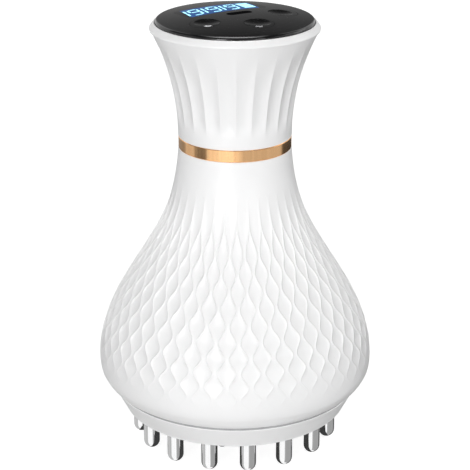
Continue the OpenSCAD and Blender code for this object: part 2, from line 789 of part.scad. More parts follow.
module level_button() { button(level_spot); }

neck_shell();
trim_ring();
belly_shell();
base_gasket();
base_ring();
head_plate();
outer_pins();
inner_pins();
contact_board();
head_screws();
inner_frame();
motor_can();
motor_end_cap();
motor_shaft();
eccentric_weight();
motor_clamp();
clamp_screws();
power_board();
battery_pad();
battery_cell();
battery_cap();
panel_carrier();
carrier_screws();
control_board();
board_screws();
button_switches();
charging_socket();
display_module();
display_window();
control_panel();
power_button();
mode_button();
level_button();
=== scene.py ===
"""Looks of the vase-shaped body massager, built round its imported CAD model.

Sizes and meshes are written in mm and turned to metres by add_mesh. Lamps and cards are placed
in metres."""
import math

import bpy
import numpy as np
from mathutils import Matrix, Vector


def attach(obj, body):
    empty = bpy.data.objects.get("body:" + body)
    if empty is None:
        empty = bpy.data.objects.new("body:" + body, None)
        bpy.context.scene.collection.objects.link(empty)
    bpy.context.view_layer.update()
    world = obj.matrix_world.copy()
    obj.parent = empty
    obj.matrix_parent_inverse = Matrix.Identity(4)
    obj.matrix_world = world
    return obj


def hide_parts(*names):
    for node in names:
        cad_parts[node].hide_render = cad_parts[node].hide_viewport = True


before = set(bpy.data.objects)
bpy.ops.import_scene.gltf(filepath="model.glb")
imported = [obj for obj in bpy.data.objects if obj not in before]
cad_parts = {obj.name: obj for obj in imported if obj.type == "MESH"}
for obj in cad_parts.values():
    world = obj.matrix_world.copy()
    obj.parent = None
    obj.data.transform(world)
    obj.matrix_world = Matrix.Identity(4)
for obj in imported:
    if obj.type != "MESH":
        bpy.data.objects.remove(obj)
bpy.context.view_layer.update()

MM = 0.001

# Sizes in mm, as in the CAD source
Z_SEAM, Z_BELLY, Z_TRIM, Z_NECK, Z_CREASE = 21.4, 31.0, 108.6, 112.8, 149.8
SEAM_R, BELLY_R, WAIST_R, CREASE_R = 44.8, 49.0, 19.7, 28.5
BELLY_KNOTS = [(0, 1, 0), (0.376, 0.654, -1.6), (0.688, 0.182, -1.13), (1, 0, -0.16)]
NECK_KNOTS = [(0, 0, 0), (1, 1, 2.0)]
WALL, SLEEVE_SEAT = 2.0, 0.55
WAIST_IN_R = WAIST_R - WALL - SLEEVE_SEAT
LEAF_COLUMNS, LEAF_ROWS, LEAF_TURN = 36, 10, 0.5
LEAF_DEPTH, LEAF_SWING, LEAF_TOP, LEAF_PITCH, LEAF_CLOSING = 0.9, 0.32, 56.6, 5.35, 0.12
FLUTES, FLUTE_DEPTH, FLUTE_START, FLUTE_FADE = 24, 0.8, 3.5, 6.0
CROWN_Z, CROWN_RISE, CROWN_R = 153.5, 1.7, 26.1
BUTTON_R, DISH_BALL, DISH_RIM = 5.0, 16.0, 0.5
POWER_SPOT, MODE_SPOT = (-14.6, -5.0), (0.7, -14.4)
WINDOW_Y = 10.0
LEDGE_Z, LEDGE_T, LEDGE_W = 139.0, 2.4, 1.8

# Rows over which the relief changes. Above the top row it swings over to plain flutes and
# fades. Below it fades into the smooth underside.
PLAIN_SWING, PLAIN_ROWS = -0.45, 1.6
TOP_START, TOP_ROWS, TOP_POWER = 0.1, 3.8, 1.4
LOW_START, LOW_ROWS = 4, 4.5
LEAST_RELIEF = 0.01
# Where the flutes end below the crease, and the height over which they run out there
FLUTE_STOP, FLUTE_RUN_OUT = 1, 15

# Sizes in mm that only the looks have: the belly's foot below Z_FOOT, which turns in and is
# rounded off at the seam, and the lit figures under the window
Z_FOOT, FOOT_TURN = 26.2, 0.62
FOOT_ROUND, FOOT_ROUND_IN, FOOT_RINGS = 0.9, 0.6, 6
FIGURE_W, FIGURE_H, FIGURE_LOW, LEAN, STROKE, FIGURE_GAP = 3.5, 8.0, 5.8, 0.17, 0.7, 0.25

# Camera of the photograph: degrees, metres and mm of film
CAMERA_AZIMUTH, CAMERA_ELEVATION, CAMERA_DISTANCE, CAMERA_AIM_Z = -31, 21.08, 0.5621, 0.0751
FILM_WIDTH, LENS = 36, 121.3


def make_camera():
    azimuth, elevation = math.radians(CAMERA_AZIMUTH), math.radians(CAMERA_ELEVATION)
    data = bpy.data.cameras.new("photo_camera")
    data.sensor_width = FILM_WIDTH
    data.lens = LENS
    data.clip_start, data.clip_end = 0.01, 20
    camera = bpy.data.objects.new("photo_camera", data)
    back = Vector((math.sin(azimuth) * math.cos(elevation),
                   -math.cos(azimuth) * math.cos(elevation), math.sin(elevation)))
    camera.location = Vector((0, 0, CAMERA_AIM_Z)) + back * CAMERA_DISTANCE
    camera.rotation_mode = "QUATERNION"
    camera.rotation_quaternion = (-back).to_track_quat("-Z", "Y")
    bpy.context.scene.collection.objects.link(camera)
    bpy.context.scene.camera = camera


# Outlines, as in the CAD source but for the foot


def along(knots, u):
    """Smooth curve through knots of (share of the way, share of the swell, slope)."""
    i = max(k for k in range(len(knots) - 1) if k == 0 or u > knots[k][0])
    a, b = knots[i], knots[i + 1]
    w = b[0] - a[0]
    t = (u - a[0]) / w
    return (a[1] * (1 + 2 * t) * (1 - t) ** 2 + a[2] * w * t * (1 - t) ** 2
            + b[1] * t * t * (3 - 2 * t) - b[2] * w * t * t * (1 - t))


def ease(x):
    t = max(0.0, min(1.0, x))
    return t * t * (3 - 2 * t)


def belly_line(z):
    if z >= Z_BELLY:
        share = along(BELLY_KNOTS, (z - Z_BELLY) / (Z_TRIM - Z_BELLY))
        return WAIST_R + (BELLY_R - WAIST_R) * share
    if z >= Z_FOOT:
        return BELLY_R - (BELLY_R - SEAM_R) * ((Z_BELLY - z) / (Z_BELLY - Z_SEAM)) ** 3
    top, t = belly_line(Z_FOOT), (Z_FOOT - z) / (Z_FOOT - Z_SEAM)
    return top - (top - SEAM_R) * (FOOT_TURN * t + (1 - FOOT_TURN) * t ** 3)


def neck_line(z):
    share = along(NECK_KNOTS, (z - Z_NECK) / (Z_CREASE - Z_NECK))
    return WAIST_R + (CREASE_R - WAIST_R) * share


def belly_in(z):
    return max(WAIST_IN_R, belly_line(z) - LEAF_DEPTH - WALL)


def neck_in(z):
    return max(WAIST_IN_R, neck_line(z) - FLUTE_DEPTH - WALL)


def crown_z(r):
    return CROWN_Z + CROWN_RISE * (1 - (r / CROWN_R) ** 2)


# Relief


def scoop(t, soft=0.1):
    """Depth across a hollow, 0 on its slightly rounded ridges and 1 in its middle."""
    f = 4 * t * (1 - t)
    return (math.sqrt(f * f + soft * soft) - soft) / (math.sqrt(1 + soft * soft) - soft)


def leaf_scoop(t, flat=0.016, steep=0.32):
    """The same for a leaf: a narrow flat ridge, a steep wall beside it and a shallow bowl."""
    u = abs(2 * t - 1) / (1 - 2 * flat)
    if u >= 1:
        return 0.0
    return (1 - steep) * (1 - u * u) + steep * (1 - u ** 11)


def leaf_row(z):
    down, b = Z_SEAM + LEAF_TOP - z, LEAF_PITCH + LEAF_CLOSING / 2
    return (b - math.sqrt(max(0.0, b * b - 2 * LEAF_CLOSING * down))) / LEAF_CLOSING


def leaf_wave(row):
    if row < 0:
        return LEAF_SWING + (PLAIN_SWING - LEAF_SWING) * ease(-row / PLAIN_ROWS)
    return LEAF_SWING * math.cos(math.pi * row)


def leaf_fade(row):
    if row < 0:
        return (1 - ease((-row - TOP_START) / TOP_ROWS)) ** TOP_POWER
    return 1 - ease((row - LEAF_ROWS + LOW_START) / LOW_ROWS)


# Where the points lie across a hollow, closer together at its ridges
LEAF_STEPS = (0, 0.016, 0.028, 0.044, 0.068, 0.1, 0.15, 0.23, 0.32, 0.41,
              0.5, 0.59, 0.68, 0.77, 0.85, 0.9, 0.932, 0.956, 0.972, 0.984)
FLUTE_STEPS = (0, 0.02, 0.05, 0.1, 0.17, 0.25, 0.34, 0.44, 0.56, 0.66, 0.75, 0.83, 0.9, 0.95, 0.98)


def leaf_ring(z, shrink=0.0):
    """One ring of points round the belly; each hollow runs from ridge to ridge."""
    row = leaf_row(z)
    deep = LEAF_DEPTH * leaf_fade(row)
    wave = leaf_wave(row) if deep > LEAST_RELIEF else 0.0
    step, r, full = 180 / LEAF_COLUMNS, belly_line(z) - shrink, 1 + 2 * LEAF_SWING
    ring = []
    for j in range(2 * LEAF_COLUMNS):
        side = 1 if j % 2 == 0 else -1
        width = 1 + 2 * side * wave
        start = (j - 0.5 - side * wave) * step + LEAF_TURN
        for t in LEAF_STEPS:
            a = math.radians(start + width * step * t)
            q = r - deep * width / full * leaf_scoop(t)
            ring.append((q * math.sin(a), -q * math.cos(a), z))
    return ring


def flute_ring(z):
    up = (z - Z_NECK - FLUTE_START) / FLUTE_FADE
    down = (Z_CREASE - FLUTE_STOP - z) / FLUTE_RUN_OUT
    deep, r, step = FLUTE_DEPTH * ease(up) * ease(down), neck_line(z), 360 / FLUTES
    ring = []
    for j in range(FLUTES):
        for t in FLUTE_STEPS:
            a, q = math.radians((j + t) * step), r - deep * scoop(t, 0.05)
            ring.append((q * math.sin(a), -q * math.cos(a), z))
    return ring


def plain_ring(r, z, like):
    """A round ring with the same number of points, at the same angles as another ring."""
    ring = []
    for x, y, _ in like:
        k = r / math.hypot(x, y)
        ring.append((x * k, y * k, z))
    return ring


# Meshes
SHARP = math.radians(38)


def add_mesh(name, verts, faces, material, smooth=True):
    mesh = bpy.data.meshes.new(name)
    mesh.from_pydata([tuple(c * MM for c in v) for v in verts], [], faces)
    mesh.validate()
    mesh.polygons.foreach_set("use_smooth", [smooth] * len(mesh.polygons))
    if smooth:
        mesh.set_sharp_from_angle(angle=SHARP)
    mesh.materials.append(material)
    obj = bpy.data.objects.new(name, mesh)
    bpy.context.scene.collection.objects.link(obj)
    return obj


def add_shell(name, rings, material):
    """Closed wall: the rings run up the outside and back down the inside."""
    m, n = len(rings), len(rings[0])
    faces = [(k * n + i, k * n + (i + 1) % n, (k + 1) % m * n + (i + 1) % n, (k + 1) % m * n + i)
             for k in range(m) for i in range(n)]
    return add_mesh(name, [p for ring in rings for p in ring], faces, material)


def steps(a, b, n):
    return [a + (b - a) * k / n for k in range(n + 1)]


# Materials


class Finish:
    """A node material in the making. Its places are in metres from the object's own origin."""

    def __init__(self, name, **sockets):
        self.mat = bpy.data.materials.new(name)
        self.mat.use_nodes = True
        self.tree = self.mat.node_tree
        self.shader = self.tree.nodes["Principled BSDF"]
        for socket, value in sockets.items():
            self.shader.inputs[socket.replace("_", " ")].default_value = value
        self.place = self.node("ShaderNodeTexCoord").outputs["Object"]

    def node(self, kind, **settings):
        made = self.tree.nodes.new(kind)
        for key, value in settings.items():
            setattr(made, key, value)
        return made

    def link(self, a, b):
        self.tree.links.new(a, b)

    def stretched(self, sx, sy, sz):
        mapping = self.node("ShaderNodeMapping")
        mapping.inputs["Scale"].default_value = (sx, sy, sz)
        self.link(self.place, mapping.inputs["Vector"])
        return mapping.outputs["Vector"]

    def noise(self, scale, detail=3.0, rough=0.55, place=None):
        made = self.node("ShaderNodeTexNoise")
        made.inputs["Scale"].default_value = scale
        made.inputs["Detail"].default_value = detail
        made.inputs["Roughness"].default_value = rough
        self.link(place or self.place, made.inputs["Vector"])
        return made.outputs["Fac"]

    def ramp(self, source, stops):
        made = self.node("ShaderNodeValToRGB")
        band = made.color_ramp
        while len(band.elements) < len(stops):
            band.elements.new(0.5)
        for element, (at, colour) in zip(band.elements, stops):
            element.position = at
            element.color = (*colour, 1)
        self.link(source, made.inputs["Fac"])
        return made.outputs["Color"]

    def tones(self, source, colour, low, high):
        """Two shades of a colour over the middle of a noise."""
        return self.ramp(source, [(0.3, tint(colour, low)), (0.7, tint(colour, high))])

    def range(self, source, low, high, a=0.3, b=0.7):
        made = self.node("ShaderNodeMapRange")
        for socket, value in zip(("From Min", "From Max", "To Min", "To Max"), (a, b, low, high)):
            made.inputs[socket].default_value = value
        self.link(source, made.inputs["Value"])
        return made.outputs["Result"]

    def math(self, operation, a, b=None):
        made = self.node("ShaderNodeMath", operation=operation)
        for socket, value in zip(made.inputs, (a, b)):
            if isinstance(value, (int, float)):
                socket.default_value = value
            elif value is not None:
                self.link(value, socket)
        return made.outputs["Value"]

    def mix(self, factor, a, b):
        made = self.node("ShaderNodeMix", data_type="RGBA")
        colours = [s for s in made.inputs if s.type == "RGBA"]
        self.link(factor, made.inputs[0])
        for socket, value in zip(colours, (a, b)):
            if isinstance(value, tuple):
                socket.default_value = (*value, 1)
            else:
                self.link(value, socket)
        return [s for s in made.outputs if s.type == "RGBA"][0]

    def parts(self):
        made = self.node("ShaderNodeSeparateXYZ")
        self.link(self.place, made.inputs["Vector"])
        return made.outputs

    def set(self, socket, source):
        self.link(source, self.shader.inputs[socket])

    def bump(self, height, depth, strength):
        made = self.node("ShaderNodeBump")
        made.inputs["Strength"].default_value = strength
        made.inputs["Distance"].default_value = depth
        self.link(height, made.inputs["Height"])
        self.link(made.outputs["Normal"], self.shader.inputs["Normal"])


def tint(colour, k):
    return tuple(min(1.0, c * k) for c in colour)


FLOW, SKIN, UNEVEN = 70, 2600, 900  # scales of a moulding's flow marks, fine skin and gloss


def casing(name, colour, rough):
    """Satin white plastic, with painted shade in the hollows of its relief: its colour is darker
    there.
    """
    f = Finish(name, IOR=1.46)
    flow = f.tones(f.noise(FLOW, 4), colour, 0.994, 1.006)
    # painted shade: a darker tone mixed in by how deep each point lies in a hollow
    hollow = f.tones(f.noise(2 * FLOW, 3), colour, 0.9, 0.91)
    deep = f.node("ShaderNodeAttribute", attribute_name="hollow").outputs["Fac"]
    f.set("Base Color", f.mix(deep, flow, hollow))
    f.set("Roughness", f.range(f.noise(UNEVEN, 5, 0.65), rough - 0.04, rough + 0.04))
    f.bump(f.noise(SKIN, 2), 0.0000015, 0.5)
    return f.mat


def plastic(name, colour, rough, spread=0.05, depth=0.000004, vary=0.02, **sockets):
    """Moulded plastic: faint flow marks in its tone, uneven gloss and a fine skin."""
    f = Finish(name, **sockets)
    f.set("Base Color", f.tones(f.noise(FLOW, 4), colour, 1 - vary, 1 + vary))
    f.set("Roughness", f.range(f.noise(UNEVEN, 5, 0.65), rough - spread, rough + spread))
    f.bump(f.noise(SKIN, 2), depth, 0.5)
    return f.mat


def steel(name, colour, rough, streaks=(60, 60, 4000), **sockets):
    """Metal with fine streaks along its drawing or turning direction."""
    f = Finish(name, Metallic=1.0, **sockets)
    lines = f.noise(1.0, 3, 0.6, f.stretched(*streaks))
    f.set("Base Color", f.tones(lines, colour, 0.94, 1.04))
    f.set("Roughness", f.range(lines, rough * 0.75, rough * 1.25))
    f.bump(lines, 0.000003, 0.5)
    return f.mat


def board(name):
    """Green solder mask over a net of tracks, with tinned pads."""
    f = Finish(name, Coat_Weight=0.3)
    cells = f.node("ShaderNodeTexVoronoi", feature="DISTANCE_TO_EDGE", distance="CHEBYCHEV")
    cells.inputs["Scale"].default_value = 330
    f.link(f.place, cells.inputs["Vector"])
    tracks = f.range(cells.outputs["Distance"], 1, 0, 0.06, 0.1)
    pads = f.node("ShaderNodeTexVoronoi")
    pads.inputs["Scale"].default_value = 420
    f.link(f.place, pads.inputs["Vector"])
    pad = f.range(pads.outputs["Distance"], 1, 0, 0.16, 0.2)
    green = f.mix(tracks, (0.006, 0.075, 0.03), (0.012, 0.13, 0.05))
    f.set("Base Color", f.mix(pad, green, (0.62, 0.6, 0.55)))
    f.set("Metallic", pad)
    f.set("Roughness", f.range(pad, 0.42, 0.3, 0, 1))
    f.bump(tracks, 0.00003, 0.6)
    return f.mat


def gold():
    """Polished copper-gold band with fine streaks across it."""
    f = Finish("gold_band", Metallic=1.0)
    streak = f.noise(1.0, 4, 0.7, f.stretched(900, 900, 12))
    f.set("Base Color", f.ramp(streak, [(0.3, (0.88, 0.51, 0.245)), (0.7, (0.97, 0.6, 0.31))]))
    f.set("Roughness", f.range(streak, 0.13, 0.22))
    f.bump(streak, 0.000006, 0.6)
    return f.mat


def chrome():
    """Mirror chrome with faint polishing swirls."""
    f = Finish("pin_chrome", Metallic=1.0)
    swirl = f.noise(1400, 4, 0.7)
    shades = [(0.3, (0.93, 0.935, 0.94)), (0.7, (0.97, 0.97, 0.975))]
    f.set("Base Color", f.ramp(f.noise(200, 2), shades))
    f.set("Roughness", f.range(swirl, 0.05, 0.11))
    f.bump(swirl, 0.0000012, 0.4)
    return f.mat


def black_gloss(name, colour, rough):
    """Piano black: hairline marks and a few soft smears in the gloss."""
    f = Finish(name, IOR=1.45)
    f.set("Base Color", f.tones(f.noise(90, 3), colour, 0.9, 1.15))
    hair = f.noise(1.0, 5, 0.7, f.stretched(2600, 260, 260))
    fine, smear = f.range(hair, rough - 0.02, rough + 0.02), f.range(f.noise(110, 3), 0, 0.04)
    f.set("Roughness", f.math("ADD", fine, smear))
    f.bump(hair, 0.0000008, 0.3)
    return f.mat


# The blue glow under the window, in mm: its middle, and from where to where it fades out
GLOW_X, GLOW_SIDE, GLOW_DEEP = -0.85, (13.1, 13.7), (5.6, 6.0)


def window_lens():
    """Smoked lens, lit blue from behind where the display lies under it."""
    f = Finish("window_lens", Roughness=0.12, IOR=1.45, Specular_IOR_Level=0.2)
    x, y, _ = f.parts()
    lean = f.math("MULTIPLY", f.math("SUBTRACT", y, FIGURE_LOW * MM), LEAN)
    across = f.math("ABSOLUTE", f.math("SUBTRACT", f.math("SUBTRACT", x, lean), GLOW_X * MM))
    along_y = f.math("ABSOLUTE", f.math("SUBTRACT", y, WINDOW_Y * MM))
    side, deep = (f.range(source, 1, 0, *(edge * MM for edge in edges))
                  for source, edges in ((across, GLOW_SIDE), (along_y, GLOW_DEEP)))
    glow = f.math("MULTIPLY", side, deep)
    mottle = f.noise(260, 3)
    blue = f.ramp(mottle, [(0.3, (0.0, 0.055, 0.22)), (0.7, (0.0, 0.08, 0.28))])
    f.set("Base Color", f.mix(glow, (0.008, 0.009, 0.011), (0.003, 0.012, 0.05)))
    f.set("Emission Color", f.mix(glow, (0.0, 0.0, 0.0), blue))
    f.shader.inputs["Emission Strength"].default_value = 1.0
    f.bump(f.noise(1500, 2), 0.0000008, 0.3)
    return f.mat


def lit(name, low, high, strength):
    """Lit figures, a little uneven as light-emitting segments are."""
    f = Finish(name, Roughness=0.35, Emission_Strength=strength)
    tone = f.ramp(f.noise(700, 2), [(0.3, low), (0.7, high)])
    f.set("Emission Color", tone)
    f.set("Base Color", f.mix(f.noise(300, 1), low, high))
    return f.mat


CELL_TIP, CELL_BAND, CELL_EDGE = 127.0, (114.6, 120.6), 0.1  # heights in mm, and half an edge


def cell_wrap():
    """Blue shrink wrap with a pale band, over a bare steel tip."""
    f = Finish("cell_wrap", Coat_Weight=0.4)
    z = f.parts()[2]

    def above(level):
        return f.range(z, 0, 1, (level - CELL_EDGE) * MM, (level + CELL_EDGE) * MM)

    tip = above(CELL_TIP)
    band = f.math("SUBTRACT", above(CELL_BAND[0]), above(CELL_BAND[1]))
    wrinkle = f.noise(1.0, 3, 0.6, f.stretched(260, 260, 40))
    wrap = f.ramp(wrinkle, [(0.3, (0.02, 0.07, 0.3)), (0.7, (0.03, 0.1, 0.38))])
    f.set("Base Color", f.mix(tip, f.mix(band, wrap, (0.6, 0.62, 0.66)), (0.6, 0.6, 0.62)))
    f.set("Metallic", tip)
    f.set("Roughness", f.range(wrinkle, 0.3, 0.45))
    f.bump(wrinkle, 0.00004, 0.4)
    return f.mat


def rubber(name, colour):
    f = Finish(name)
    f.set("Base Color", f.tones(f.noise(400, 4), colour, 0.9, 1.1))
    f.set("Roughness", f.range(f.noise(1500, 3), 0.6, 0.8))
    f.bump(f.noise(3500, 3), 0.00001, 0.6)
    return f.mat


white_casing = casing("white_casing", (0.92, 0.92, 0.922), 0.31)
base_casing = plastic("base_casing", (0.91, 0.91, 0.912), 0.4, 0.04, vary=0.006, IOR=1.46)
frame_plastic = plastic("frame_plastic", (0.62, 0.63, 0.64), 0.55, depth=0.000012)
dark_plastic = plastic("dark_plastic", (0.03, 0.03, 0.032), 0.5, depth=0.000012, vary=0.1)
screw_steel = steel("screw_steel", (0.6, 0.6, 0.62), 0.3, (300, 300, 3000))
motor_steel = steel("motor_steel", (0.62, 0.63, 0.65), 0.28)
socket_steel = steel("socket_steel", (0.3, 0.3, 0.31), 0.35, (500, 500, 2500))
weight_brass = steel("weight_brass", (0.66, 0.52, 0.28), 0.4, (700, 700, 700))
black_panel = black_gloss("black_panel", (0.01, 0.01, 0.0105), 0.09)
black_cap = black_gloss("black_cap", (0.009, 0.009, 0.0095), 0.12)
seal = rubber("seal_rubber", (0.42, 0.42, 0.43))
circuit = board("circuit_board")

FINISHES = {
    "trim_ring": gold(), "base_gasket": seal, "base_ring": base_casing, "head_plate": base_casing,
    "outer_pins": chrome(), "contact_board": circuit, "head_screws": screw_steel,
    "inner_frame": frame_plastic, "motor_can": motor_steel, "motor_end_cap": dark_plastic,
    "motor_shaft": motor_steel, "eccentric_weight": weight_brass, "motor_clamp": frame_plastic,
    "clamp_screws": screw_steel, "power_board": circuit, "battery_pad": seal,
    "battery_cell": cell_wrap(), "battery_cap": frame_plastic, "panel_carrier": frame_plastic,
    "carrier_screws": screw_steel, "control_board": circuit, "board_screws": screw_steel,
    "button_switches": dark_plastic, "charging_socket": socket_steel,
    "display_module": lit("display_blue", (0.01, 0.09, 0.4), (0.02, 0.14, 0.55), 0.4),
    "display_window": window_lens(), "control_panel": black_panel, "power_button": black_cap,
    "mode_button": black_cap, "level_button": black_cap,
}
FINISHES["inner_pins"] = FINISHES["outer_pins"]
for node_name, finish in FINISHES.items():
    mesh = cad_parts[node_name].data
    mesh.materials.clear()
    mesh.materials.append(finish)


# The two casings in full relief, in mm
EDGE = 0.2  # bevel of each casing at the trim ring
BEND = 0.1  # distance between the rings where the foot bends
RELIEF_LOW, RELIEF_HIGH, RELIEF_RINGS, FLUTE_RINGS = Z_SEAM + 9.2, Z_SEAM + 74, 150, 84
LEAF_HOLLOW_SHADE, FLUTE_HOLLOW_SHADE = 0.2, 0.15  # share of the painted shade in the hollows at their full depth
HOLLOW_SHADE_MARGIN, HOLLOW_SHADE_LEVELS = 0.5, 200
PAST_WALL = 1.3  # points deeper than this many hollows are the casing's inside
# The rim's profile from the crease outward, over its rounded edge and in over its bevel to
# the panel, as radius and height
RIM = [(28.44, 149.72), (28.46, 149.8), (28.7, 149.84), (28.93, 149.92), (29.05, 150.08),
       (29.1, 150.3), (29.07, 150.52), (28.95, 150.78), (28.76, 151.02), (27.95, 152.02),
       (27.75, 152.22), (27.55, 152.35), (27.4, 152.4), (27.25, 152.3)]
PANEL_SEAT_Z, PANEL_SEAT_R = 150.6, (27.25, 25.4)
NECK_IN_TOP, LEDGE_FOOT = 147.8, 134.0  # ends of the inner wall above and below the ledge


def mark_hollows(made, line, low, high, depth, most):
    """Keeps how deep each point lies below the ridges, for the painted shade in the casing's
    colour.
    """
    points = np.empty(3 * len(made.data.vertices))
    made.data.vertices.foreach_get("co", points)
    x, y, z = points.reshape(-1, 3).T / MM
    levels = steps(low, high, HOLLOW_SHADE_LEVELS)
    outer = np.interp(z, levels, [line(v) for v in levels])
    below = (outer - np.hypot(x, y)) / depth
    below[(below > PAST_WALL) | (z < low) | (z > high)] = 0
    hollow = made.data.attributes.new("hollow", "FLOAT", "POINT")
    hollow.data.foreach_set("value", most * np.clip(below, 0, 1))


def foot_ring(k):
    """One of the rings that round the foot off, from the seam upward."""
    up = k / FOOT_RINGS
    return leaf_ring(Z_SEAM + FOOT_ROUND * up, FOOT_ROUND_IN * (1 - up) ** 2)


def belly_casing():
    levels = steps(Z_SEAM + FOOT_ROUND, Z_FOOT - BEND, 5) + [Z_FOOT, Z_FOOT + BEND]
    levels += steps(Z_FOOT + 8 * BEND, RELIEF_LOW - 1, 4)
    levels += steps(RELIEF_LOW, RELIEF_HIGH, RELIEF_RINGS)
    levels += steps(RELIEF_HIGH + 2, Z_TRIM - EDGE, 10)
    outside = [foot_ring(k) for k in range(FOOT_RINGS)]
    outside += [leaf_ring(z) for z in levels] + [leaf_ring(Z_TRIM, EDGE)]
    like = outside[0]
    inside = [plain_ring(belly_in(z), z, like) for z in steps(Z_TRIM, Z_SEAM, 24)]
    made = add_shell("belly_casing", outside + inside, white_casing)
    low, high = Z_SEAM + HOLLOW_SHADE_MARGIN, Z_TRIM - HOLLOW_SHADE_MARGIN
    # painted shade in the hollows of the leaf relief
    mark_hollows(made, belly_line, low, high, LEAF_DEPTH, LEAF_HOLLOW_SHADE)
    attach(made, "root")
    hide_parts("belly_shell")


def neck_casing():
    start = Z_NECK + FLUTE_START
    levels = steps(Z_NECK + EDGE, start, 3) + steps(start + 0.4, Z_CREASE - 0.3, FLUTE_RINGS)
    outside = [flute_ring(Z_NECK)] + [flute_ring(z) for z in levels]
    like = outside[0]
    outside[0] = plain_ring(WAIST_R - EDGE, Z_NECK, like)
    inside = [(r, PANEL_SEAT_Z) for r in PANEL_SEAT_R]
    inside += [(neck_in(z), z) for z in steps(NECK_IN_TOP, LEDGE_Z, 4)]
    inside += [(neck_in(LEDGE_Z) - LEDGE_W, z) for z in (LEDGE_Z, LEDGE_Z - LEDGE_T)]
    inside += [(neck_in(z), z) for z in steps(LEDGE_FOOT, Z_NECK, 10)]
    turned = [plain_ring(r, z, like) for r, z in RIM + inside]
    made = add_shell("neck_casing", outside + turned, white_casing)
    # painted shade in the hollows of the flutes
    mark_hollows(made, neck_line, Z_NECK + HOLLOW_SHADE_MARGIN, Z_CREASE, FLUTE_DEPTH, FLUTE_HOLLOW_SHADE)
    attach(made, "root")
    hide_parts("neck_shell")


# Figures and marks, in mm
FIGURE_LIFT, FIGURE_T = 0.03, 0.08  # height of a lit figure over the window, and its thickness
MARK_LIFT, MARK_T = 0.02, 0.05  # the same for a mark in its dish
SEGMENTS = {"a": (0, 1, 1, 1), "b": (1, 0.5, 1, 1), "c": (1, 0, 1, 0.5), "d": (0, 0, 1, 0),
            "e": (0, 0, 0, 0.5), "f": (0, 0.5, 0, 1), "g": (0, 0.5, 1, 0.5)}
DIGITS = {"1": "bc", "9": "abcdfg"}
# Each digit shown, and the place of its left side
DISPLAY = [("1", -17.3), ("9", -12.2), ("1", -10.4), ("9", -5.1), ("1", -3.35), ("9", 2.0)]
# The stack of blocks beside them: its sides, foot, lean, count, block and distance
LEVEL_X0, LEVEL_X1, LEVEL_Y, LEVEL_LEAN = 7.7, 12.0, 6.0, 0.1
LEVEL_BLOCKS, LEVEL_BLOCK, LEVEL_PITCH = 4, 1.9, 2.15
# The marks: shift from the button's middle, arc radius and stroke
POWER_SHIFT, POWER_R, POWER_W = (-0.5, -2.9), 1.0, 0.42
POWER_BAR_LOW, POWER_BAR_HIGH = 0.1, 1.45
MODE_SHIFT, MODE_R, MODE_W = (-1.9, -3.0), 0.46, 0.66


def prism(outline, height_at, lift, thick):
    """Thin plate with this outline, lying on a surface; returns its points and faces."""
    n = len(outline)
    top = [(x, y, height_at(x, y) + lift) for x, y in outline]
    low = [(x, y, z - thick) for x, y, z in top]
    faces = [tuple(range(n)), tuple(range(2 * n - 1, n - 1, -1))]
    faces += [(i, n + i, n + (i + 1) % n, (i + 1) % n) for i in range(n)]
    return top + low, faces


def plates(name, outlines, height_at, lift, thick, material):
    verts, faces = [], []
    for outline in outlines:
        v, f = prism(outline, height_at, lift, thick)
        faces += [tuple(i + len(verts) for i in face) for face in f]
        verts += v
    return add_mesh(name, verts, faces, material, smooth=False)


def bar(x0, y0, x1, y1, w):
    """A segment of a figure: a bar with pointed ends."""
    dx, dy = x1 - x0, y1 - y0
    length = math.hypot(dx, dy)
    ux, uy = dx / length, dy / length
    h = w / 2
    return [(x0, y0),
            (x0 + ux * h + uy * h, y0 + uy * h - ux * h),
            (x1 - ux * h + uy * h, y1 - uy * h - ux * h),
            (x1, y1),
            (x1 - ux * h - uy * h, y1 - uy * h + ux * h),
            (x0 + ux * h - uy * h, y0 + uy * h + ux * h)]


def box(x0, y0, x1, y1):
    return [(x0, y0), (x1, y0), (x1, y1), (x0, y1)]


def display_figures():
    def over_crown(x, y):
        return crown_z(math.hypot(x, y))

    outlines = []
    for digit, left in DISPLAY:
        for key in DIGITS[digit]:
            x0, y0, x1, y1 = SEGMENTS[key]
            p, q = [(left + x * FIGURE_W + LEAN * y * FIGURE_H, FIGURE_LOW + y * FIGURE_H)
                    for x, y in ((x0, y0), (x1, y1))]
            share = FIGURE_GAP / math.hypot(q[0] - p[0], q[1] - p[1])
            dx, dy = (q[0] - p[0]) * share, (q[1] - p[1]) * share
            outlines.append(bar(p[0] + dx, p[1] + dy, q[0] - dx, q[1] - dy, STROKE))
    made = plates("display_figures", outlines, over_crown, FIGURE_LIFT, FIGURE_T, lit_figures)
    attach(made, "root")
    level = []
    for k in range(LEVEL_BLOCKS):
        low, high = k * LEVEL_PITCH, k * LEVEL_PITCH + LEVEL_BLOCK
        level.append([(x + LEVEL_LEAN * y, LEVEL_Y + y)
                      for x, y in box(LEVEL_X0, low, LEVEL_X1, high)])
    made = plates("display_level", level, over_crown, FIGURE_LIFT, FIGURE_T, lit_figures)
    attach(made, "root")


def dish_height(spot):
    base = crown_z(math.hypot(*spot))
    ball = base + math.sqrt(DISH_BALL ** 2 - (BUTTON_R - DISH_RIM) ** 2)
    return lambda x, y: ball - math.sqrt(DISH_BALL ** 2 - (x - spot[0]) ** 2 - (y - spot[1]) ** 2)


def arc(cx, cy, r, w, a0, a1, n):
    """An arc of ring of this width, as n four-sided outlines."""
    out = []
    for k in range(n):
        a, b = (math.radians(a0 + (a1 - a0) * j / n) for j in (k, k + 1))
        corners = ((r - w / 2, a), (r + w / 2, a), (r + w / 2, b), (r - w / 2, b))
        out.append([(cx + q * math.cos(t), cy + q * math.sin(t)) for q, t in corners])
    return out


